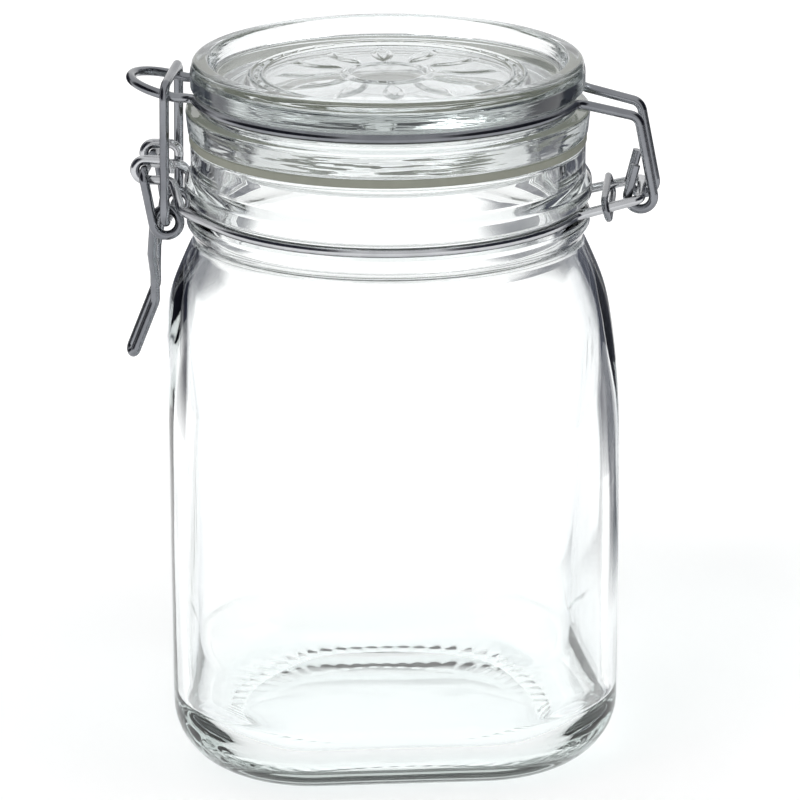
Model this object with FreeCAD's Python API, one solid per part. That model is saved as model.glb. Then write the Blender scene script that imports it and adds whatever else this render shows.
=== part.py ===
import FreeCAD, Part
import math
import os

# Clip-top preserving jar: a square glass jar with a round neck, a glass lid, a rubber
# gasket and sprung steel wirework. Sizes are in millimetres, +Z is up, and the origin is
# the middle of the base. The body's flat sides face X and Y; the wirework is built with
# its clasp towards -X and its hinge towards +X, then turned as a set around the neck.

V = FreeCAD.Vector
UP = V(0, 0, 1)
ORIGIN = V(0, 0, 0)

# ---- overall sizes ----
body_w = 109.0            # across the flats of the square body
corner_r = 34.5           # radius of the body's upright corners
rim_z = 151.0             # top of the jar's mouth
neck_r = 47.4             # outside of the neck where the shoulder starts
neck_w = 5.8              # glass thickness of the neck at the mouth
wall = 3.8                # glass thickness of the body
base_t = 7.0              # glass thickness of the base
heel_r = 15.5             # rounding between the walls and the base
shoulder_z = 58.0         # foot of the curve by which the corners lean in
corner_ease = 0.4         # play of that curve over the corners at its foot
arch_r = 6.0              # rounding where the flat sides run into the shoulder
throat_lean = 1.75        # steepness of the way from the shoulder into the mouth
neck_h = 24.5             # from the shoulder to the rim
push_up = 1.6             # hollow under the base
foot_out_r = 41.5         # ribbed bearing ring under the base
foot_in_r = 37.6
foot_ribs = 60
rib_h = 0.6
rib_lap = 0.5             # the gaps between the ribs run this far into the hollow

# ---- neck finish ----
finish_out = 0.3          # outside of the mouth's rim, beyond the neck
bead_out = 1.9            # bead above the wire's groove, beyond the neck
bead_h = 5.6
ring_out = 1.5            # ring below the wire's groove, beyond the neck
ring_h = 4.2
edge_r = 0.9              # rounding of pressed glass edges

# ---- gasket ----
gasket_t = 2.0
gasket_lap = 0.3          # the gasket stands this far beyond the rim, inside and outside

# ---- lid ----
lid_h = 18.0
lid_out = 0.1             # upper flange, beyond the neck
lid_low_out = 1.4         # lower flange, beyond the upper one
lid_low_h = 6.6
lid_rim_w = 4.2           # flat rim around the recess
recess = 4.2
lid_floor_t = 6.2
plug_clear = 0.8          # play between the lid's plug and the mouth
plug_h = 6.0
plug_w = 3.0
medallion_in = 14.5       # raised rosette in the recess, inside the flange
line_w = 0.9
line_h = 0.5
ring_gap = 2.8            # between the rosette's two outer lines, a row of beads between them
petals = 12
petal_long = 15.0
petal_w = 5.0
beads = 36
dot_r = 0.65

# ---- wirework ----
wire_d = 2.3
bend_r = 3.0              # usual bend of the wire's centre line
ring_bend = 4.0           # bends where the lid wire leaves the lid
neck_bend = 3.0           # bends where the neck wire leaves the neck
fit = 0.1                 # play of the wires in their grooves
pass_gap = 0.4            # gap where a moving wire passes another
touch_gap = 0.03          # gap where one wire bears on another
set_turn = -9.0           # turn of the wirework around the neck, degrees
lid_wire_up = 9.4         # lid wire over the foot of the lid
neck_wire_down = 15.6     # neck wire under the rim
loop_half = 10.3          # half width of the lid wire's loop
loop_out = 14.7           # the loop's end beyond the lid
loop_bend_out = 2.7
loop_lift = 2.9
hinge_out = 13.9          # hinge pin, the neck wire's tip bar, beyond the neck
hinge_up = 4.0            # and over the neck wire
pin_half = 10.0
neck_arm_half = 11.7
hook_r = 3.1
hook_stub = 7.2
hook_lean = 14.0
arm_half = 8.6
knee_out = 13.1           # knee of the lid wire's hinge arms, beyond the lid
knee_down = 3.4
eye_half = 8.0            # half spacing of the eyes
eye_up = 8.4              # eyes over the neck wire
eye_out = 10.7            # outer bend of each eye, beyond the neck
eye_r = 2.5
eye_len = 3.6
eye_foot_out = 4.2        # where the wire's rise to the eye ends
rise_half = 14.2          # half spacing of the wire's ends where they start to rise
pivot_lift = 0.1          # the lever's pivots are drawn up in the eyes
coil_out = 5.5            # coil of the lever, round the link's ends, beyond the neck
coil_down = 4.2           # and under the neck wire
coil_r = 3.15
coil_lift = 0.45          # the link's ends ride this far above the coil's middle
coil_pitch = 2.55
coil_half = 10.4          # outer end of each coil, from the middle
end_len = 7.0             # bent-in ends of the lever and the link
grip_top_out = 2.9        # the lever's grip, beyond the body's side
grip_out = 2.7
grip_top_down = 9.7       # top, kink and tip of the grip, under the coil
grip_kink_down = 22.2
grip_tip_down = 34.7
grip_flare = 5.0          # the tip stands this much further out
grip_gap = 0.4            # between the lever's two strands
grip_top_half = 4.2       # half spacing of the strands where they start to close up
grip_twist = 1.4          # the far strand stands this much further out below the kink
link_bend = 3.2
bar_out = 4.9             # where the link's bar crosses the lid wire's loop, beyond the lid
clamp_d = 1.7             # wire of the flat ring round the neck wire's arms
clamp_out = 6.0
clamp_h = 6.4
clamp_lean = 14.0

mouth_r = neck_r - neck_w
finish_r = neck_r + finish_out
bead_r = neck_r + bead_out
ring_r = neck_r + ring_out
gasket_in_r = mouth_r - gasket_lap
gasket_out_r = finish_r + gasket_lap
lid_r = neck_r + lid_out
lid_low_r = lid_r + lid_low_out
medallion_r = lid_r - medallion_in
wire_r = wire_d / 2
body_half = body_w / 2
lid_z = rim_z + gasket_t
lid_top = lid_z + lid_h
neck_foot_z = rim_z - neck_h
ring_path_r = lid_r - wire_r * 0.75
neck_path_r = neck_r
lid_wire_z = lid_z + lid_wire_up
neck_wire_z = rim_z - neck_wire_down
loop_reach = lid_r + loop_out
loop_bend_x = lid_r + loop_bend_out
hinge_x = neck_r + hinge_out
hinge_z = neck_wire_z + hinge_up
knee_x = lid_r + knee_out
knee_z = lid_wire_z - knee_down
eye_x = neck_r + eye_out
eye_foot_x = neck_r + eye_foot_out
eye_z = neck_wire_z + eye_up
coil_x = neck_r + coil_out
coil_z = neck_wire_z - coil_down
grip_top_x = body_half + grip_top_out
grip_x = body_half + grip_out
grip_top_z = coil_z - grip_top_down
grip_z = coil_z - grip_kink_down
grip_tip_x = grip_x + grip_flare
grip_tip_z = coil_z - grip_tip_down
bar_x = lid_r + bar_out
clamp_x = neck_r + clamp_out


# ---- helpers ----
def turned(shape, degrees, axis=UP, centre=ORIGIN):
    result = shape.copy()
    result.rotate(centre, axis, degrees)
    return result


def mid_arc(start, centre, end):
    """Arc from start to end about centre, the short way."""
    radius = (start - centre).Length
    middle = (start - centre) + (end - centre)
    return Part.Arc(start, centre + middle.normalize() * radius, end).toShape()


def rounded_run(points, bends):
    """Edges of a run of straight lengths whose corners are tangent arcs."""
    edges = []
    last = points[0]
    for i in range(1, len(points) - 1):
        corner = points[i]
        back = (points[i - 1] - corner).normalize()
        ahead = (points[i + 1] - corner).normalize()
        half = back.getAngle(ahead) / 2
        radius = bends[i - 1]
        if radius == 0:
            edges.append(Part.makeLine(last, corner))
            last = corner
            continue
        reach = radius / math.tan(half)
        start = corner + back * reach
        end = corner + ahead * reach
        centre = corner + (back + ahead).normalize() * (radius / math.sin(half))
        if (start - last).Length > 1e-6:
            edges.append(Part.makeLine(last, start))
        edges.append(mid_arc(start, centre, end))
        last = end
    if (points[-1] - last).Length > 1e-6:
        edges.append(Part.makeLine(last, points[-1]))
    return edges


def turned_solid(outline, bends):
    """Solid of revolution from a closed outline of (radius, height) corners."""
    start = (V(outline[-1][0], 0, outline[-1][1]) + V(outline[0][0], 0, outline[0][1])) * 0.5
    points = [start] + [V(r, 0, z) for r, z in outline] + [start]
    wire = Part.Wire(rounded_run(points, bends))
    return Part.Face(wire).revolve(ORIGIN, UP, 360)


def swept(edges, diameter):
    """Round wire along a run of edges given in order."""
    path = Part.Wire(edges)
    start = edges[0].Vertexes[0].Point
    if (start - edges[1].Vertexes[0].Point).Length < 1e-6:
        start = edges[0].Vertexes[1].Point
    if (start - edges[1].Vertexes[-1].Point).Length < 1e-6:
        start = edges[0].Vertexes[1].Point
    first = edges[0]
    at = first.FirstParameter
    if (first.valueAt(at) - start).Length > 1e-6:
        at = first.LastParameter
    circle = Part.Wire(Part.makeCircle(diameter / 2, start, first.tangentAt(at)))
    return path.makePipeShell([circle], True, False)


def rounded_square(half, radius, z):
    inner = half - radius
    edges = []
    for k in range(4):
        centre = V(inner, inner, z)
        arc = mid_arc(centre + V(radius, 0, 0), centre, centre + V(0, radius, 0))
        side = Part.makeLine(centre + V(0, radius, 0), V(-inner, half, z))
        edges.append(turned(arc, 90 * k))
        edges.append(turned(side, 90 * k))
    return Part.Wire(edges)


def upright_block(half, radius, low, high):
    return Part.Face(rounded_square(half, radius, low)).extrude(V(0, 0, high - low))


# ---- glass ----
def shoulder_dome(inset, low, top_run):
    """Body of revolution that rounds the corners in towards the neck."""
    corner_reach = (body_half - corner_r) * math.sqrt(2) + corner_r + corner_ease
    rise = neck_foot_z - shoulder_z
    drop = corner_reach - neck_r
    sweep_r = (rise * rise + drop * drop) / (2 * drop)
    half_rise = rise / 2
    half_drop = sweep_r - math.sqrt(sweep_r * sweep_r - half_rise * half_rise)
    top = V(neck_r - inset, 0, neck_foot_z)
    middle = V(corner_reach - half_drop - inset, 0, shoulder_z + half_rise)
    bottom = V(corner_reach - inset, 0, shoulder_z)
    run = top_run + [Part.Arc(top, middle, bottom).toShape()]
    corners = [bottom, V(bottom.x, 0, low), V(0, 0, low), top_run[0].Vertexes[0].Point]
    for a, b in zip(corners[:-1], corners[1:]):
        run.append(Part.makeLine(a, b))
    return Part.Face(Part.Wire(run)).revolve(ORIGIN, UP, 360)


def jar_form(inset, low, heel, blend, corners):
    """Square body under a round neck; corners are the neck's, from the axis down."""
    points = [V(r, 0, z) for r, z, bend in corners]
    neck_run = rounded_run(points, [bend for r, z, bend in corners[1:-1]])
    high = corners[0][1] + 1
    block = upright_block(body_half - inset, corner_r - inset, low, high)
    heel_edges = [e for e in block.Edges if abs(e.BoundBox.ZMax - low) < 1e-6]
    block = block.makeFillet(heel, heel_edges)
    body = block.common(shoulder_dome(inset, low - 1, neck_run)).Solids[0]
    arches = []
    for edge in body.Edges:
        box = edge.BoundBox
        if box.ZMin > shoulder_z - 1 and box.ZMax < neck_foot_z - 1 and box.ZLength > 0.01:
            if not edge.Curve.isDerivedFrom("Part::GeomLine"):
                arches.append(edge)
    return body.makeFillet(blend, arches)


def neck_outline():
    """Corners and roundings of the outside of the neck, from the axis down."""
    groove_r = neck_path_r - wire_r - fit
    slope = 1.2
    bead_low = neck_wire_z + wire_r + fit + slope / 4
    bead_top = bead_low + bead_h
    ring_top = neck_wire_z - wire_r - fit - slope / 4
    ring_low = ring_top - ring_h
    return [
        (0, rim_z, 0),
        (finish_r, rim_z, edge_r),
        (finish_r, bead_top + slope, 1.0),
        (bead_r, bead_top - slope, 1.6),
        (bead_r, bead_low + slope / 2, 1.0),
        (groove_r, bead_low - slope / 4, 0.5),
        (groove_r, ring_top + slope / 4, 0.5),
        (ring_r, ring_top - slope / 4, 0.8),
        (ring_r, ring_low + slope, 1.6),
        (neck_r, ring_low - slope, 1.0),
        (neck_r, neck_foot_z, 0),
    ]


def throat_outline():
    """Corners and roundings of the way through the neck, from the axis down."""
    inner_r = neck_r - wall
    throat_z = neck_foot_z + (inner_r - mouth_r) * throat_lean
    over = rim_z + 1
    return [(0, over, 0), (mouth_r, over, 0), (mouth_r, throat_z, 4.0), (inner_r, neck_foot_z, 0)]


def make_jar():
    outside = jar_form(0, 0, heel_r, arch_r, neck_outline())
    inside = jar_form(wall, base_t, heel_r - wall, arch_r, throat_outline())
    jar = outside.cut(inside)
    level = [edge for edge in jar.Edges if abs(edge.BoundBox.ZMin - rim_z) < 1e-6]
    mouth = [edge for edge in level if edge.BoundBox.XMax < mouth_r + fit]
    return cut_foot(jar.makeFillet(edge_r, mouth))


def cut_foot(jar):
    """Hollow under the base, with a ribbed bearing ring around it."""
    dome_r = (foot_in_r * foot_in_r + push_up * push_up) / (2 * push_up)
    hollow = Part.makeSphere(dome_r, V(0, 0, push_up - dome_r), V(1, 0, 0))
    jar = jar.cut(hollow)
    gap_in_r = foot_in_r - rib_lap
    gap_w = math.pi * (foot_in_r + foot_out_r) / foot_ribs / 2
    gap = Part.makeBox(foot_out_r - gap_in_r, gap_w, rib_h * 2, V(gap_in_r, -gap_w / 2, -rib_h))
    gaps = [turned(gap, 360 * k / foot_ribs) for k in range(foot_ribs)]
    return jar.cut(Part.makeCompound(gaps)).Solids[0]


def make_gasket():
    corners = [(gasket_out_r, lid_z), (gasket_out_r, rim_z), (gasket_in_r, rim_z), (gasket_in_r, lid_z)]
    return turned_solid(corners, [0.3, 0.3, 0.3, 0.3])


def make_lid():
    groove_r = ring_path_r - wire_r - fit
    low_top = lid_z + lid_low_h
    high_low = lid_wire_z + wire_r + fit
    rim_in = lid_r - lid_rim_w
    floor_z = lid_top - recess
    under_z = floor_z - lid_floor_t
    plug_r = mouth_r - plug_clear
    corners = [(0, floor_z, 0)]
    for radius in (medallion_r * 0.3, medallion_r - ring_gap, medallion_r):
        corners += raised_line(radius, floor_z)
    corners += [
        (rim_in - recess * 0.45, floor_z, 1.6),
        (rim_in, lid_top, 0.8),
        (lid_r - 0.6, lid_top, 1.5),
        (lid_r, lid_top - 3, 3),
        (lid_r, high_low + 0.5, 0.7),
        (groove_r, high_low, 0.5),
        (groove_r, low_top, 0.9),
        (lid_low_r, low_top - 0.4, 0.9),
        (lid_low_r - 0.6, lid_z, 0.9),
        (plug_r, lid_z, 0.4),
        (plug_r - 0.4, lid_z - plug_h, 1.2),
        (plug_r - plug_w, lid_z - plug_h, 1.2),
        (plug_r - plug_w - 4, under_z, 4),
        (0, under_z, 0),
    ]
    outline = [(r, z) for r, z, bend in corners]
    lid = turned_solid(outline, [bend for r, z, bend in corners])
    return lid.fuse(make_rosette(floor_z)).removeSplitter().Solids[0]


def raised_line(radius, z):
    """Corners of a low rounded line pressed in a ring around the axis."""
    half = line_w / 2
    return [
        (radius - half, z, 0.15),
        (radius - half / 2, z + line_h, 0.2),
        (radius + half / 2, z + line_h, 0.2),
        (radius + half, z, 0.15),
    ]


def make_rosette(z):
    """Petals and beads pressed into the lid's recess."""
    petal_at = medallion_r * 0.58
    round_r = (petal_long * petal_long + petal_w * petal_w) / (4 * petal_w)
    aside = round_r - petal_w / 2
    pieces = []
    for k in range(petals):
        petal = Part.makeCylinder(round_r, line_h * 2, V(petal_at, aside, z - line_h))
        petal = petal.common(Part.makeCylinder(round_r, line_h * 2, V(petal_at, -aside, z - line_h)))
        pieces.append(turned(petal, 360 * k / petals))
    for k in range(beads):
        bead = Part.makeSphere(dot_r, V(medallion_r - ring_gap / 2, 0, z + line_h - dot_r), V(1, 0, 0))
        pieces.append(turned(bead, 360 * k / beads))
    return Part.makeCompound(pieces)


# ---- wirework, clasp at -X and hinge at +X ----
def leave_ring(ring, half, bend, side_x, side_y, z):
    """Where a wire leaves its ring, and the corner where it turns out along X."""
    angle = math.asin(half / math.hypot(ring, bend)) + math.atan2(bend, ring)
    on_ring = V(side_x * ring * math.cos(angle), side_y * ring * math.sin(angle), z)
    along = V(side_x * math.sin(angle), -side_y * math.cos(angle), 0)
    return on_ring, on_ring + along * bend


def ring_side(ring, z, left, right, side_y):
    """Half of a ring, with the corner beyond each end; left and right are (half, bend)."""
    start, corner_l = leave_ring(ring, left[0], left[1], -1, side_y, z)
    end, corner_r = leave_ring(ring, right[0], right[1], 1, side_y, z)
    arc = Part.Arc(start, V(0, side_y * ring, z), end).toShape()
    return [start, corner_l], [end, corner_r], arc


def tangent_angle(point, centre, radius, turn):
    """Angle about Y, from +X towards +Z, where a line from point touches a circle."""
    away = point - centre
    spread = math.acos(radius / math.hypot(away.x, away.z))
    return math.atan2(away.z, away.x) + turn * spread


def on_circle(centre, radius, angle):
    return centre + V(radius * math.cos(angle), 0, radius * math.sin(angle))


def hinge_arm(leaving, side):
    """Arm of the lid wire at the hinge: knee, leg and hook round the hinge pin."""
    hook_y = side * (pin_half - wire_d - pass_gap)
    centre = V(hinge_x, hook_y, hinge_z)
    knee = V(knee_x, hook_y, knee_z)
    touch = on_circle(centre, hook_r, tangent_angle(knee, centre, hook_r, -1))
    run = rounded_run(leaving + [knee, touch], [ring_bend, bend_r])
    lean = math.radians(hook_lean)
    bottom = on_circle(centre, hook_r, -math.pi / 2)
    inner = on_circle(centre, hook_r, math.pi - lean)
    run.append(mid_arc(touch, centre, bottom))
    run.append(mid_arc(bottom, centre, inner))
    up = V(math.sin(lean), 0, math.cos(lean))
    run.append(Part.makeLine(inner, inner + up * hook_stub))
    return run


def make_lid_wire():
    ends = ((loop_half, ring_bend), (arm_half, ring_bend))
    near_l, near_r, near_arc = ring_side(ring_path_r, lid_wire_z, *ends, -1)
    far_l, far_r, far_arc = ring_side(ring_path_r, lid_wire_z, *ends, 1)
    tip = V(-loop_reach, 0, lid_wire_z + loop_lift)
    elbow = V(-loop_bend_x, 0, lid_wire_z)
    centre = tip + (elbow - tip).normalize() * loop_half
    near_y = V(0, -loop_half, 0)
    far_y = V(0, loop_half, 0)
    near_loop = rounded_run(near_l + [elbow + near_y, centre + near_y], [ring_bend, 6.0])
    far_loop = rounded_run(far_l + [elbow + far_y, centre + far_y], [ring_bend, 6.0])
    loop_end = Part.Arc(centre + near_y, tip, centre + far_y).toShape()
    edges = list(reversed(hinge_arm(near_r, -1))) + [near_arc]
    edges += near_loop + [loop_end] + list(reversed(far_loop))
    edges += [far_arc] + hinge_arm(far_r, 1)
    return swept(edges, wire_d)


def eye(leaving, side):
    """Oblong eye at one end of the neck wire, in an upright plane."""
    y = side * eye_half
    outer = V(-eye_x, y, eye_z)
    inner = V(-(eye_x - eye_len), y, eye_z)
    down = V(0, 0, -eye_r)
    foot = V(-eye_foot_x, y, eye_z - eye_r)
    run = rounded_run(leaving + [foot, outer + down], [neck_bend, 2.5])
    run.append(mid_arc(outer + down, outer, outer + V(-eye_r, 0, 0)))
    run.append(mid_arc(outer + V(-eye_r, 0, 0), outer, outer - down))
    run.append(Part.makeLine(outer - down, inner - down))
    run.append(mid_arc(inner - down, inner, on_circle(inner, eye_r, -math.radians(10))))
    return run


def make_neck_wire():
    rise_r = bead_r + wire_r + fit
    straight = math.sqrt(rise_r * rise_r - neck_path_r * neck_path_r)
    clasp = (rise_half, straight)
    hinge = (neck_arm_half, neck_bend)
    near_l, near_r, near_arc = ring_side(neck_path_r, neck_wire_z, clasp, hinge, -1)
    far_l, far_r, far_arc = ring_side(neck_path_r, neck_wire_z, clasp, hinge, 1)
    tip_near = V(hinge_x, -pin_half, hinge_z)
    tip_far = V(hinge_x, pin_half, hinge_z)
    points = near_r + [tip_near, tip_far] + list(reversed(far_r))
    arms = rounded_run(points, [neck_bend, 2.4, 2.4, neck_bend])
    edges = list(reversed(eye(near_l, -1))) + [near_arc] + arms
    edges += [far_arc] + eye(far_l, 1)
    return swept(edges, wire_d)


def make_clamp_ring():
    """Flat ring of thin wire drawn over both arms of the neck wire."""
    run = hinge_x - neck_path_r
    part = (clamp_x - neck_path_r) / run
    middle_z = neck_wire_z + (hinge_z - neck_wire_z) * part
    arm_y = neck_arm_half + (pin_half - neck_arm_half) * part
    radius = (clamp_h - clamp_d) / 2
    inner = arm_y + wire_r + 3 * fit + clamp_d / 2 - radius
    near_low = V(clamp_x, -inner, middle_z - radius)
    near_high = V(clamp_x, -inner, middle_z + radius)
    far_high = V(clamp_x, inner, middle_z + radius)
    far_low = V(clamp_x, inner, middle_z - radius)
    near_end = V(clamp_x, -inner - radius, middle_z)
    far_end = V(clamp_x, inner + radius, middle_z)
    edges = [
        Part.makeLine(far_low, near_low),
        Part.Arc(near_low, near_end, near_high).toShape(),
        Part.makeLine(near_high, far_high),
        Part.Arc(far_high, far_end, far_low).toShape(),
    ]
    ring = swept(edges, clamp_d)
    return turned(ring, -clamp_lean, V(0, 1, 0), V(clamp_x, 0, middle_z))


def lever_strand(side, twist):
    """One half of the lever: bent-in end, arm, coil and strand of the grip."""
    centre = V(-coil_x, coil_half, coil_z)
    pivot = V(-eye_x, coil_half, eye_z + pivot_lift)
    grip_top = V(-grip_top_x, 0, grip_top_z)
    start = tangent_angle(pivot, centre, coil_r, 1)
    stop = tangent_angle(grip_top, centre, coil_r, -1)
    wound = (stop - start) % (2 * math.pi)
    width = coil_pitch * wound / (2 * math.pi)
    drift = coil_pitch / (2 * math.pi * coil_r)
    coil = Part.makeHelix(coil_pitch, width, coil_r)
    coil.rotate(ORIGIN, UP, math.degrees(start))
    coil.rotate(ORIGIN, V(1, 0, 0), 90)
    coil.translate(centre)
    touch = on_circle(centre, coil_r, start)
    arm = (touch - pivot).Length
    top = pivot + V(0, arm * drift, 0)
    arrive = rounded_run([top - V(0, end_len, 0), top, touch], [2.2])
    leave = on_circle(centre, coil_r, stop) - V(0, width, 0)
    along = V(-math.sin(stop), -drift, math.cos(stop)).normalize()
    tip_way = V(grip_x - grip_tip_x, 0, grip_tip_z - grip_z).normalize()
    outward = V(tip_way.z, 0, -tip_way.x) * twist
    rise = V(0, 0, twist / abs(tip_way.x))
    strand_y = V(0, (wire_d + grip_gap) / 2, 0)
    kink = V(-grip_x, 0, grip_z) + rise + strand_y
    tip = V(-grip_tip_x, 0, grip_tip_z) + outward + strand_y
    closed = V(-grip_x, 0, (grip_z + grip_top_z) / 2) + strand_y + rise * 0.5
    grip_top = grip_top + V(0, grip_top_half, 0)
    points = [leave, leave + along * 2.0, grip_top, closed, kink, tip]
    run = arrive + [coil.Edges[0]] + rounded_run(points, [3.0, 6.0, 5.0, 5.0])
    if side < 0:
        run = [edge.mirror(ORIGIN, V(0, 1, 0)).Edges[0] for edge in run]
        tip.y = -tip.y
    return run, tip, tip_way


def make_lever():
    near, near_tip, tip_way = lever_strand(-1, 0.0)
    far, far_tip, tip_way = lever_strand(1, grip_twist)
    middle = (near_tip + far_tip) * 0.5
    bulge = middle + tip_way * ((near_tip - far_tip).Length / 2)
    end = Part.Arc(near_tip, bulge, far_tip).toShape()
    return swept(near + [end] + list(reversed(far)), wire_d)


def make_link():
    half = loop_half + wire_d + pass_gap
    loop_slope = loop_lift / (loop_reach - loop_bend_x)
    bend_drop = max(0.0, loop_half - (half - link_bend)) ** 2 / (2 * link_bend)
    loop_z = lid_wire_z + (bar_x + wire_r - loop_bend_x) * loop_slope
    bar_z = loop_z + wire_d + bend_drop + touch_gap
    pin = V(-coil_x, 0, coil_z + coil_lift)
    corners = []
    for side in (-1, 1):
        y = V(0, side * half, 0)
        end = V(0, side * (half - end_len), 0)
        ends = [pin + end, pin + y, V(-bar_x, 0, bar_z) + y]
        corners += ends if side < 0 else list(reversed(ends))
    return swept(rounded_run(corners, [2.5, link_bend, link_bend, 2.5]), wire_d)


# ---- nodes ----
def main():
    os.makedirs("parts", exist_ok=True)
    nodes = {
        "jar": make_jar(),
        "lid": make_lid(),
        "gasket": make_gasket(),
        "lid_wire": turned(make_lid_wire(), set_turn),
        "neck_wire": turned(make_neck_wire(), set_turn),
        "clamp_ring": turned(make_clamp_ring(), set_turn),
        "lever": turned(make_lever(), set_turn),
        "link": turned(make_link(), set_turn),
    }
    for name, shape in nodes.items():
        shape.exportStep("parts/" + name + ".step")


main()
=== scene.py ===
import math

import bmesh
import bpy
from mathutils import Matrix, Vector


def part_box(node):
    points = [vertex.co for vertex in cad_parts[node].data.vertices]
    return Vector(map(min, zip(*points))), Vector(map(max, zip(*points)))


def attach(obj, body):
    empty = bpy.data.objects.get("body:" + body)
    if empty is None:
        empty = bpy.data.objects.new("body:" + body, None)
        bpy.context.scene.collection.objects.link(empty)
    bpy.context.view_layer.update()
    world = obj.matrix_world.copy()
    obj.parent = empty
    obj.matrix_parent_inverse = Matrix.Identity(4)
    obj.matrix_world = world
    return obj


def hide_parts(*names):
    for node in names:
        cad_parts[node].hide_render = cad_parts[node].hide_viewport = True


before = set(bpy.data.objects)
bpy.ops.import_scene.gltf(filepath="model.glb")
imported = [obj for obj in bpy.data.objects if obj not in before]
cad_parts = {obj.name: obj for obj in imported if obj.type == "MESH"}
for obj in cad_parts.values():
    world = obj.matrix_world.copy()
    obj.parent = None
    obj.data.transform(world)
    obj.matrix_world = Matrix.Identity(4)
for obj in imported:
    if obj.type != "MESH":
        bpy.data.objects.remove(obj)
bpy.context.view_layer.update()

# Sizes in millimetres, as in the part's source; the main ones are read from the frame.
MM = 0.001


def node_box(name):
    low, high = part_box(name)
    return Vector(low) / MM, Vector(high) / MM


jar_low, jar_high = node_box("jar")
lid_low, lid_high = node_box("lid")

body_half = (jar_high.x - jar_low.x) / 2
rim_z = jar_high.z
lid_top = lid_high.z
lid_low_r = (lid_high.x - lid_low.x) / 2
lid_z = node_box("gasket")[1].z

corner_r = 34.5
corner_ease = 0.4
wall = 3.8
base_t = 7.0
heel_r = 15.5
shoulder_z = 58.0
neck_foot_z = 126.5
neck_r = 47.4
mouth_r = 41.6
throat_lean = 1.75
push_up = 1.6
foot_out_r = 41.5
foot_in_r = 37.6
foot_ribs = 60
rib_h = 0.6
finish_r = 47.7
bead_r = 49.3
bead_h = 5.6
ring_r = 48.9
ring_h = 4.2
edge_r = 0.9
wire_r = 1.15
fit = 0.1
neck_wire_z = 135.4
lid_wire_z = 162.4
lid_r = 47.5
lid_low_h = 6.6
lid_rim_w = 4.2
recess = 4.2
lid_floor_t = 6.2
plug_clear = 0.8
plug_h = 6.0
plug_w = 3.0
medallion_r = 33.0
line_w = 0.9
line_h = 0.5
ring_gap = 2.8
petals = 12
petal_long = 15.0
petal_w = 5.0
petal_at = 0.58
petal_steep = 2.2
centre_ring = 0.3
beads = 36
bead_reach = 0.9

# Softness of the glass, beyond what the source models
arch_blend = 3.0
inner_blend = 4.0
rib_share = 0.28
seam_h = 0.09
seam_reach = math.radians(1.2)
seam_turns = (math.radians(91), math.radians(271))
wave_h = 0.25
wave_phase = 0.4

# ---- camera at the photograph's viewing angle ----
cam_turn = math.radians(-3.92)
cam_away = 1.0435
cam_up = 0.4203
cam_pitch = math.radians(17.846)
cam_yaw = math.radians(0.149)
cam_roll = math.radians(-0.174)
cam_lens = 200.628
cam_sensor = 36

cam = bpy.data.objects.new("camera", bpy.data.cameras.new("camera"))
bpy.context.scene.collection.objects.link(cam)
heading = cam_turn - cam_yaw
ahead = Vector((-math.sin(heading), math.cos(heading), 0))
aside = Vector((ahead.y, -ahead.x, 0))
look = ahead * math.cos(cam_pitch) - Vector((0, 0, math.sin(cam_pitch)))
up = aside.cross(look)
right = aside * math.cos(cam_roll) + up * math.sin(cam_roll)
up = up * math.cos(cam_roll) - aside * math.sin(cam_roll)
turn = Matrix((right, up, -look)).transposed().to_4x4()
place = Vector((math.sin(cam_turn), -math.cos(cam_turn), 0)) * cam_away
place.z = cam_up
cam.matrix_world = Matrix.Translation(place) @ turn
cam.data.lens = cam_lens
cam.data.sensor_width = cam_sensor
cam.data.clip_end = 20
bpy.context.scene.camera = cam


# ---- mesh helpers ----
def rounded(corners, steps=5):
    """Points of an outline of (radius, height, rounding) corners."""
    points = []
    for i, (r, z, bend) in enumerate(corners):
        here = Vector((r, z))
        if bend == 0 or i in (0, len(corners) - 1):
            points.append(here)
            continue
        back = (Vector(corners[i - 1][:2]) - here).normalized()
        on = (Vector(corners[i + 1][:2]) - here).normalized()
        half = back.angle(on) / 2
        centre = here + (back + on).normalized() * (bend / math.sin(half))
        reach = bend / math.tan(half)
        first = here + back * reach - centre
        last = here + on * reach - centre
        for k in range(steps + 1):
            way = first.lerp(last, k / steps).normalized()
            points.append(centre + way * bend)
    return points


def even(points, step):
    """The same outline with its long runs divided."""
    result = [points[0]]
    for a, b in zip(points[:-1], points[1:]):
        count = max(1, math.ceil((b - a).length / step))
        for k in range(count):
            result.append(a.lerp(b, (k + 1) / count))
    return result


def signed_volume(mesh):
    work = bmesh.new()
    work.from_mesh(mesh)
    volume = work.calc_volume(signed=True)
    work.free()
    return volume


def skin(name, levels, count):
    """Surface through rings; a level gives (radius, height) for an angle, or is a pole's height."""
    verts = []
    faces = []
    rows = []
    for level in levels:
        start = len(verts)
        if not callable(level):
            verts.append((0, 0, level * MM))
            rows.append([start] * count)
            continue
        for k in range(count):
            angle = 2 * math.pi * k / count
            r, z = level(angle)
            verts.append((r * math.cos(angle) * MM, r * math.sin(angle) * MM, z * MM))
        rows.append([start + k for k in range(count)])
    for a, b in zip(rows[:-1], rows[1:]):
        for k in range(count):
            n = (k + 1) % count
            quad = [a[k], a[n], b[n], b[k]]
            faces.append(list(dict.fromkeys(quad)))
    mesh = bpy.data.meshes.new(name)
    mesh.from_pydata(verts, [], faces)
    mesh.validate()
    mesh.polygons.foreach_set("use_smooth", [True] * len(mesh.polygons))
    mesh.update()
    if signed_volume(mesh) < 0:
        mesh.flip_normals()
    piece = bpy.data.objects.new(name, mesh)
    bpy.context.scene.collection.objects.link(piece)
    return piece


def round_level(r, z):
    return lambda angle: (r, z)


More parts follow.
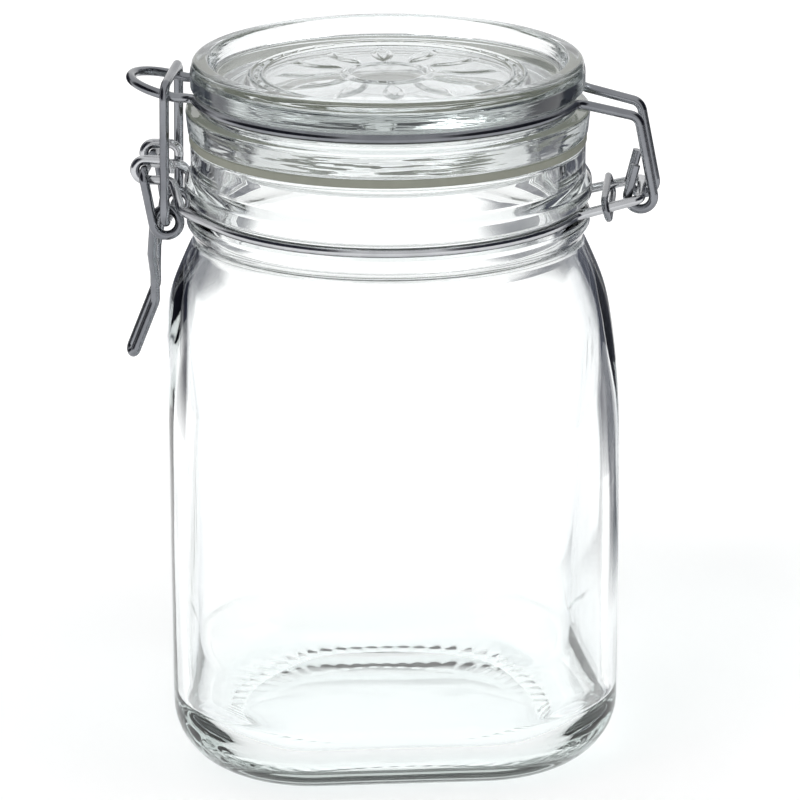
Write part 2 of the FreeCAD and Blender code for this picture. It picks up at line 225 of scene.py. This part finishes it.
# ---- the jar's form ----
def square_r(angle, inset):
    """Distance from the axis to the rounded square, at an angle."""
    half = body_half - inset
    radius = max(corner_r - inset, 0.5)
    inner = half - radius
    away = abs((angle + math.pi / 4) % (math.pi / 2) - math.pi / 4)
    flat = half / math.cos(away)
    if flat * math.sin(away) <= inner:
        return flat
    across = inner * (math.cos(away) - math.sin(away))
    return inner * (math.cos(away) + math.sin(away)) + math.sqrt(radius * radius - across * across)


corner_reach = (body_half - corner_r) * math.sqrt(2) + corner_r + corner_ease
dome_rise = neck_foot_z - shoulder_z
dome_drop = corner_reach - neck_r
sweep_r = (dome_rise * dome_rise + dome_drop * dome_drop) / (2 * dome_drop)


def dome_r(z):
    if z <= shoulder_z:
        return corner_reach
    rise = z - shoulder_z
    return corner_reach - sweep_r + math.sqrt(sweep_r * sweep_r - rise * rise)


def soft_min(a, b, blend):
    near = max(blend - abs(a - b), 0) / blend
    return min(a, b) - near * near * blend / 4


def body_level(z, inset, blend):
    def level(angle):
        return soft_min(square_r(angle, inset), dome_r(z) - inset, blend), z
    return level


def heel_level(turned, inset, radius, low):
    def level(angle):
        return square_r(angle, inset + radius * (1 - math.sin(turned))), low + radius * (1 - math.cos(turned))
    return level


def foot_level(r, ribbed):
    def level(angle):
        z = rib_h * rib_share * (0.5 - 0.5 * math.cos(foot_ribs * angle)) if ribbed else 0.0
        return r, z
    return level


def seamed(level):
    """The two halves of the mould leave a fine upright line, up to the faces' own depth."""
    def raised(angle):
        r, z = level(angle)
        off = min(abs(angle - turn) for turn in seam_turns)
        outer = r + seam_h * max(0.0, 1 - off / seam_reach)
        return max(r, min(outer, body_half / max(abs(math.sin(angle)), 0.5))), z
    return raised


def uneven(level, share=1.0):
    """The inside of pressed glass isn't quite true."""
    def moved(angle):
        r, z = level(angle)
        wave = math.sin(2 * angle + z / 23 + wave_phase)
        wave += 0.6 * math.sin(4 * angle - z / 15 + 1.3 * wave_phase)
        wave += 0.4 * math.sin(7 * angle + z / 9 + 2.1 * wave_phase)
        return r - wave_h * share * (1 + wave / 2), z
    return moved


def steps(low, high, count):
    return [low + (high - low) * k / count for k in range(count + 1)]


dish_r = (foot_in_r * foot_in_r + push_up * push_up) / (2 * push_up)
levels = [push_up]
for r in steps(3, foot_in_r - 0.6, 12):
    levels.append(round_level(r, push_up - dish_r + math.sqrt(dish_r * dish_r - r * r)))
levels += [foot_level(foot_in_r - 0.2, False), foot_level(foot_in_r + 0.3, True)]
levels += [foot_level((foot_in_r + foot_out_r) / 2, True), foot_level(foot_out_r - 0.4, True)]
levels.append(foot_level(foot_out_r, False))
for degrees in range(14, 90, 4):
    levels.append(heel_level(math.radians(degrees), 0, heel_r, 0))
for z in steps(heel_r, shoulder_z, 10):
    levels.append(body_level(z, 0, arch_blend))
for z in steps(shoulder_z + 1.5, neck_foot_z - 1.0, 44):
    levels.append(seamed(body_level(z, 0, arch_blend)))

groove_r = neck_r - wire_r - fit
slope = 1.2
bead_low = neck_wire_z + wire_r + fit + slope / 4
bead_top = bead_low + bead_h
ring_top = neck_wire_z - wire_r - fit - slope / 4
ring_low = ring_top - ring_h
inner_r = neck_r - wall
throat_z = neck_foot_z + (inner_r - mouth_r) * throat_lean
neck = [
    (neck_r, neck_foot_z, 0),
    (neck_r, ring_low - slope, 1.0),
    (ring_r, ring_low + slope, 1.6),
    (ring_r, ring_top - slope / 4, 0.8),
    (groove_r, ring_top + slope / 4, 0.5),
    (groove_r, bead_low - slope / 4, 0.5),
    (bead_r, bead_low + slope / 2, 1.0),
    (bead_r, bead_top - slope, 1.6),
    (finish_r, bead_top + slope, 1.0),
    (finish_r, rim_z, edge_r),
    (mouth_r, rim_z, edge_r),
    (mouth_r, throat_z, 4.0),
    (inner_r, neck_foot_z, 0),
]
for point in even(rounded(neck), 2.0):
    levels.append(round_level(point.x, point.y))

for z in reversed(steps(shoulder_z + 1.5, neck_foot_z - 1.0, 44)):
    fade = min(1.0, (neck_foot_z - z) / 25)
    levels.append(uneven(body_level(z, wall, inner_blend), fade))
for z in reversed(steps(base_t + heel_r - wall, shoulder_z, 10)):
    levels.append(uneven(body_level(z, wall, inner_blend)))
for degrees in range(86, 5, -4):
    levels.append(uneven(heel_level(math.radians(degrees), wall, heel_r - wall, base_t)))
floor_inset = wall + (heel_r - wall) * (1 - math.sin(math.radians(4)))
for share in (0.97, 0.9, 0.8, 0.7, 0.6, 0.5, 0.4, 0.3, 0.2, 0.1, 0.04):
    def level(angle, share=share):
        return square_r(angle, floor_inset) * share, base_t
    levels.append(level)
levels.append(base_t)
jar = skin("jar_glass", levels, 360)
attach(jar, "jar")
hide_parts("jar")

# ---- the lid's form ----
lid_groove_r = lid_r - wire_r * 0.75 - wire_r - fit
low_top = lid_z + lid_low_h
high_low = lid_wire_z + wire_r + fit
rim_in = lid_r - lid_rim_w
floor_z = lid_top - recess
under_z = floor_z - lid_floor_t
plug_r = mouth_r - plug_clear


def bump(distance, half_width):
    if abs(distance) >= half_width:
        return 0.0
    return 0.5 + 0.5 * math.cos(math.pi * distance / half_width)


def relief(r, angle):
    """Height of the pressed rosette over the recess's floor."""
    height = 0.0
    for radius in (medallion_r * centre_ring, medallion_r - ring_gap, medallion_r):
        height = max(height, bump(r - radius, line_w * 0.75))
    part = 2 * math.pi / petals
    off = (angle + part / 2) % part - part / 2
    along = (r * math.cos(off) - medallion_r * petal_at) / (petal_long / 2)
    over = r * math.sin(off) / (petal_w / 2)
    if abs(along) < 1:
        bulge = 1 - along * along - abs(over)
        height = max(height, min(1.0, max(0.0, bulge * petal_steep)))
    part = 2 * math.pi / beads
    off = (angle + part / 2) % part - part / 2
    away = math.hypot(r - (medallion_r - ring_gap / 2), r * math.sin(off))
    height = max(height, bump(away, bead_reach))
    return height * line_h


def lid_floor(r):
    return lambda angle: (r, floor_z + relief(r, angle))


levels = [floor_z]
for r in steps(0.8, medallion_r - 4, 34) + steps(medallion_r - 3.6, medallion_r + 1.2, 20):
    levels.append(lid_floor(r))
lid_corners = [
    (medallion_r + 1.8, floor_z, 0),
    (rim_in - recess * 0.45, floor_z, 1.6),
    (rim_in, lid_top, 0.8),
    (lid_r - 0.6, lid_top, 1.5),
    (lid_r, lid_top - 3, 3),
    (lid_r, high_low + 0.5, 0.7),
    (lid_groove_r, high_low, 0.5),
    (lid_groove_r, low_top, 0.9),
    (lid_low_r, low_top - 0.4, 0.9),
    (lid_low_r - 0.6, lid_z, 0.9),
    (plug_r, lid_z, 0.4),
    (plug_r - 0.4, lid_z - plug_h, 1.2),
    (plug_r - plug_w, lid_z - plug_h, 1.2),
    (plug_r - plug_w - 4, under_z, 4),
    (4, under_z, 0),
]
for point in even(rounded(lid_corners), 2.5):
    levels.append(round_level(point.x, point.y))
levels.append(under_z)
lid = skin("lid_glass", levels, 480)
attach(lid, "lid")
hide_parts("lid")


# ---- materials ----
def material(name):
    mat = bpy.data.materials.new(name)
    mat.use_nodes = True
    tree = mat.node_tree
    return mat, tree, tree.nodes["Principled BSDF"], tree.nodes["Material Output"]


def add(tree, kind, **values):
    node = tree.nodes.new(kind)
    for key, value in values.items():
        if key in node.inputs:
            node.inputs[key].default_value = value
        else:
            setattr(node, key, value)
    return node


def ranged(tree, value, limits, kind="LINEAR"):
    """A value mapped from one range to another."""
    node = add(tree, "ShaderNodeMapRange", interpolation_type=kind, **limits)
    tree.links.new(value, node.inputs["Value"])
    return node.outputs["Result"]


def worked(tree, operation, *values):
    """The result of a sum on sockets and numbers."""
    node = add(tree, "ShaderNodeMath", operation=operation)
    for k, value in enumerate(values):
        if isinstance(value, float):
            node.inputs[k].default_value = value
        else:
            tree.links.new(value, node.inputs[k])
    return node.outputs["Value"]


def clouds(tree, vector, scale, detail):
    node = add(tree, "ShaderNodeTexNoise", Scale=scale, Detail=detail)
    tree.links.new(vector, node.inputs["Vector"])
    return node.outputs["Fac"]


def toned(tree, value, dark, light, shader):
    """Base colour between a dark and a light tone."""
    ramp = add(tree, "ShaderNodeValToRGB")
    ramp.color_ramp.elements[0].color = (*dark, 1)
    ramp.color_ramp.elements[1].color = (*light, 1)
    tree.links.new(value, ramp.inputs["Fac"])
    tree.links.new(ramp.outputs["Color"], shader.inputs["Base Color"])


def grained(tree, height, strength, distance, shader):
    node = add(tree, "ShaderNodeBump", Strength=strength, Distance=distance)
    tree.links.new(height, node.inputs["Height"])
    tree.links.new(node.outputs["Normal"], shader.inputs["Normal"])


def parted(tree, share, first, second, out):
    """Surface that goes from the first shader to the second."""
    mix = add(tree, "ShaderNodeMixShader")
    tree.links.new(share, mix.inputs["Fac"])
    tree.links.new(first.outputs["BSDF"], mix.inputs[1])
    tree.links.new(second.outputs["BSDF"], mix.inputs[2])
    tree.links.new(mix.outputs["Shader"], out.inputs["Surface"])


def glass_material(name, tint, thick_tint, density, wave, squeeze):
    """Pressed glass: painted shade darkens it at grazing angles; darker where it is thick, and slightly wavy.
    """
    mat, tree, shader, out = material(name)
    shader.inputs["Transmission Weight"].default_value = 1.0
    shader.inputs["Roughness"].default_value = 0.0
    shader.inputs["IOR"].default_value = 1.5
    # Base colour darker at grazing angles: painted shade for dark glass edges
    facing = add(tree, "ShaderNodeLayerWeight", Blend=0.5)
    edge = add(tree, "ShaderNodeMix", data_type="RGBA")
    edge.inputs[6].default_value = (*tint, 1)
    edge.inputs[7].default_value = (tint[0] * 0.62, tint[1] * 0.65, tint[2] * 0.70, 1)
    painted_graze_shade = ranged(tree, facing.outputs["Facing"], {"From Min": 0.55})
    tree.links.new(painted_graze_shade, edge.inputs["Factor"])
    tree.links.new(edge.outputs[2], shader.inputs["Base Color"])
    where = add(tree, "ShaderNodeTexCoord")
    flatten = add(tree, "ShaderNodeMapping", Scale=(1, 1, squeeze))
    tree.links.new(where.outputs["Object"], flatten.inputs["Vector"])
    grained(tree, clouds(tree, flatten.outputs["Vector"], 55.0, 1.5), wave, 0.0006, shader)
    clear = add(tree, "ShaderNodeBsdfTransparent", Color=(0.92, 0.94, 0.94, 1))
    path = add(tree, "ShaderNodeLightPath")
    parted(tree, path.outputs["Is Shadow Ray"], shader, clear, out)
    volume = add(tree, "ShaderNodeVolumeAbsorption", Color=(*thick_tint, 1), Density=density)
    tree.links.new(volume.outputs["Volume"], out.inputs["Volume"])
    return mat


def steel_material(name, dark, light):
    mat, tree, shader, out = material(name)
    shader.inputs["Metallic"].default_value = 1.0
    where = add(tree, "ShaderNodeTexCoord")
    fine = clouds(tree, where.outputs["Object"], 900.0, 4.0)
    toned(tree, clouds(tree, where.outputs["Object"], 120.0, 2.0), dark, light, shader)
    rough = ranged(tree, fine, {"To Min": 0.12, "To Max": 0.26})
    tree.links.new(rough, shader.inputs["Roughness"])
    grained(tree, fine, 0.12, 0.0001, shader)
    return mat


def rubber_material(name):
    mat, tree, shader, out = material(name)
    shader.inputs["Roughness"].default_value = 0.5
    where = add(tree, "ShaderNodeTexCoord")
    fine = clouds(tree, where.outputs["Object"], 260.0, 5.0)
    toned(tree, fine, (0.20, 0.207, 0.170), (0.27, 0.278, 0.232), shader)
    grained(tree, fine, 0.2, 0.0001, shader)
    return mat


def dress(piece, mat):
    piece.data.materials.clear()
    piece.data.materials.append(mat)


jar_glass = glass_material("jar_glass", (0.985, 0.99, 0.99), (0.20, 0.32, 0.28), 7.5, 0.10, 1.0)
lid_glass = glass_material("lid_glass", (0.955, 0.965, 0.965), (0.10, 0.18, 0.17), 10.0, 0.13, 14.0)
# One steel in two tones: the lighter copy on the neck wire is painted highlight, the darker copy on the other
# wires is painted shade
steel = steel_material("drawn_steel", (0.10, 0.105, 0.12), (0.30, 0.31, 0.33))
painted_highlight_steel = steel_material("painted_highlight_steel", (0.36, 0.365, 0.38), (0.56, 0.57, 0.59))
rubber = rubber_material("gasket_rubber")
dress(jar, jar_glass)
dress(lid, lid_glass)
for node in ("lid_wire", "neck_wire", "clamp_ring", "lever", "link", "gasket"):
    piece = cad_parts[node]
    mesh = piece.data
    mesh.polygons.foreach_set("use_smooth", [True] * len(mesh.polygons))
    mat = {"gasket": rubber, "neck_wire": painted_highlight_steel}.get(node, steel)
    if not mesh.materials:
        mesh.materials.append(mat)
    for k in range(len(piece.material_slots)):
        piece.material_slots[k].material = mat


# ---- floor, background and lights ----
def card(name, width, height, centre, facing, mat):
    """Flat stage card, upright or lying, facing a direction."""
    mesh = bpy.data.meshes.new(name)
    w, h = width / 2, height / 2
    mesh.from_pydata([(-w, -h, 0), (w, -h, 0), (w, h, 0), (-w, h, 0)], [], [(0, 1, 2, 3)])
    mesh.materials.append(mat)
    obj = bpy.data.objects.new(name, mesh)
    turn = Vector(facing).to_track_quat("Z", "Y").to_matrix().to_4x4()
    obj.matrix_world = Matrix.Translation(centre) @ turn
    bpy.context.scene.collection.objects.link(obj)
    return obj


def plain_rays(tree):
    """1 for camera, glossy and transmission rays, 0 for the rest."""
    path = add(tree, "ShaderNodeLightPath")
    seen = worked(tree, "MAXIMUM", path.outputs["Is Camera Ray"], path.outputs["Is Glossy Ray"])
    return worked(tree, "MAXIMUM", seen, path.outputs["Is Transmission Ray"])


def card_material(name, colour):
    """Matt card that fades out toward its edges, so that no edge shows in the glass."""
    mat, tree, shader, out = material(name)
    shader.inputs["Base Color"].default_value = (*colour, 1)
    shader.inputs["Roughness"].default_value = 0.9
    where = add(tree, "ShaderNodeTexCoord")
    split = add(tree, "ShaderNodeSeparateXYZ")
    tree.links.new(where.outputs["Generated"], split.inputs["Vector"])
    humps = []
    for axis in ("X", "Y"):
        rest = worked(tree, "SUBTRACT", 1.0, split.outputs[axis])
        humps.append(worked(tree, "MULTIPLY", split.outputs[axis], rest))
    inward = worked(tree, "MINIMUM", *humps)
    fade = ranged(tree, inward, {"From Max": 0.16}, "SMOOTHSTEP")
    clear = add(tree, "ShaderNodeBsdfTransparent")
    parted(tree, fade, clear, shader, out)
    return mat


def dark_card(name, width, height, centre, colour, facing=None, spin=0.0):
    """Card that only the glass and the wires show; it faces the jar if not told otherwise."""
    facing = facing or (-centre[0], -centre[1], 0)
    obj = card(name, width, height, centre, facing, card_material(name, colour))
    obj.matrix_world = obj.matrix_world @ Matrix.Rotation(spin, 4, "Z")
    obj.visible_camera = False
    obj.visible_diffuse = False
    obj.visible_shadow = False
    return obj


# Pale floor that glows, a little brighter away from the jar and where it is seen through glass: the weaker
# glow near the jar is painted shade round the base, the extra glow through glass is painted light
floor_mat, tree, shader, out = material("floor")
shader.inputs["Base Color"].default_value = (0.93, 0.93, 0.93, 1)
shader.inputs["Roughness"].default_value = 0.9
shader.inputs["Emission Color"].default_value = (1, 1, 1, 1)
where = add(tree, "ShaderNodeTexCoord")
away = add(tree, "ShaderNodeVectorMath", operation="LENGTH")
tree.links.new(where.outputs["Object"], away.inputs[0])
limits = {"From Min": 0.06, "From Max": 0.34, "To Min": 0.10, "To Max": 0.45}
rise = ranged(tree, away.outputs["Value"], limits)
lift = worked(tree, "MULTIPLY", plain_rays(tree), rise)
path = add(tree, "ShaderNodeLightPath")
glow = worked(tree, "MULTIPLY_ADD", path.outputs["Is Transmission Ray"], 0.14, lift)
tree.links.new(glow, shader.inputs["Emission Strength"])
card("floor", 6, 6, (0, 0, 0), (0, 0, 1), floor_mat)

# White all round, at a plain level for the light itself
world = bpy.data.worlds.new("world")
bpy.context.scene.world = world
world.use_nodes = True
tree = world.node_tree
sky = tree.nodes["Background"]
sky.inputs["Color"].default_value = (1, 1, 1, 1)
strength = ranged(tree, plain_rays(tree), {"To Min": 0.55, "To Max": 1.0})
tree.links.new(strength, sky.inputs["Strength"])

# Dark cards give the glass and the wires their dark edges
black = (0.012, 0.014, 0.030)
grey = (0.090, 0.096, 0.125)
mid_grey = (0.18, 0.185, 0.21)
up_way = (0, 0, 1)
front_way = (0, -1, 0)
dark_card("card_right", 0.20, 0.34, (0.205, 0.15, 0.15), grey)
dark_card("card_left", 0.28, 0.34, (-0.228, 0.271, 0.15), black)
dark_card("card_low", 0.32, 0.085, (0.205, 0.180, 0.0015), mid_grey, up_way, math.radians(45))
dark_card("card_neck_right", 0.16, 0.095, (0.142, 0.335, 0.062), mid_grey, front_way)
dark_card("card_neck_left", 0.17, 0.095, (-0.136, 0.335, 0.062), grey, front_way)
for name, x in (("card_side_right", 1.6), ("card_side_left", -1.6)):
    backing = dark_card(name, 3.6, 3.4, (x, -0.5, 1.0), black)
    backing.visible_transmission = False


def lamp(name, size, power, centre, target):
    data = bpy.data.lights.new(name, "AREA")
    data.shape = "SQUARE"
    data.size = size
    data.energy = power
    obj = bpy.data.objects.new(name, data)
    way = Vector(target) - Vector(centre)
    obj.matrix_world = Matrix.Translation(centre) @ way.to_track_quat("-Z", "Y").to_matrix().to_4x4()
    bpy.context.scene.collection.objects.link(obj)
    obj.visible_glossy = False
    return obj


lamp("key", 0.9, 14, (-0.9, -0.9, 1.4), (0, 0, 0.09))
lamp("fill", 0.9, 6, (1.1, -0.6, 1.1), (0, 0, 0.09))

bpy.context.scene.view_settings.view_transform = "Standard"
cycles = bpy.context.scene.cycles
cycles.max_bounces = 24
cycles.transmission_bounces = 24
cycles.glossy_bounces = 12
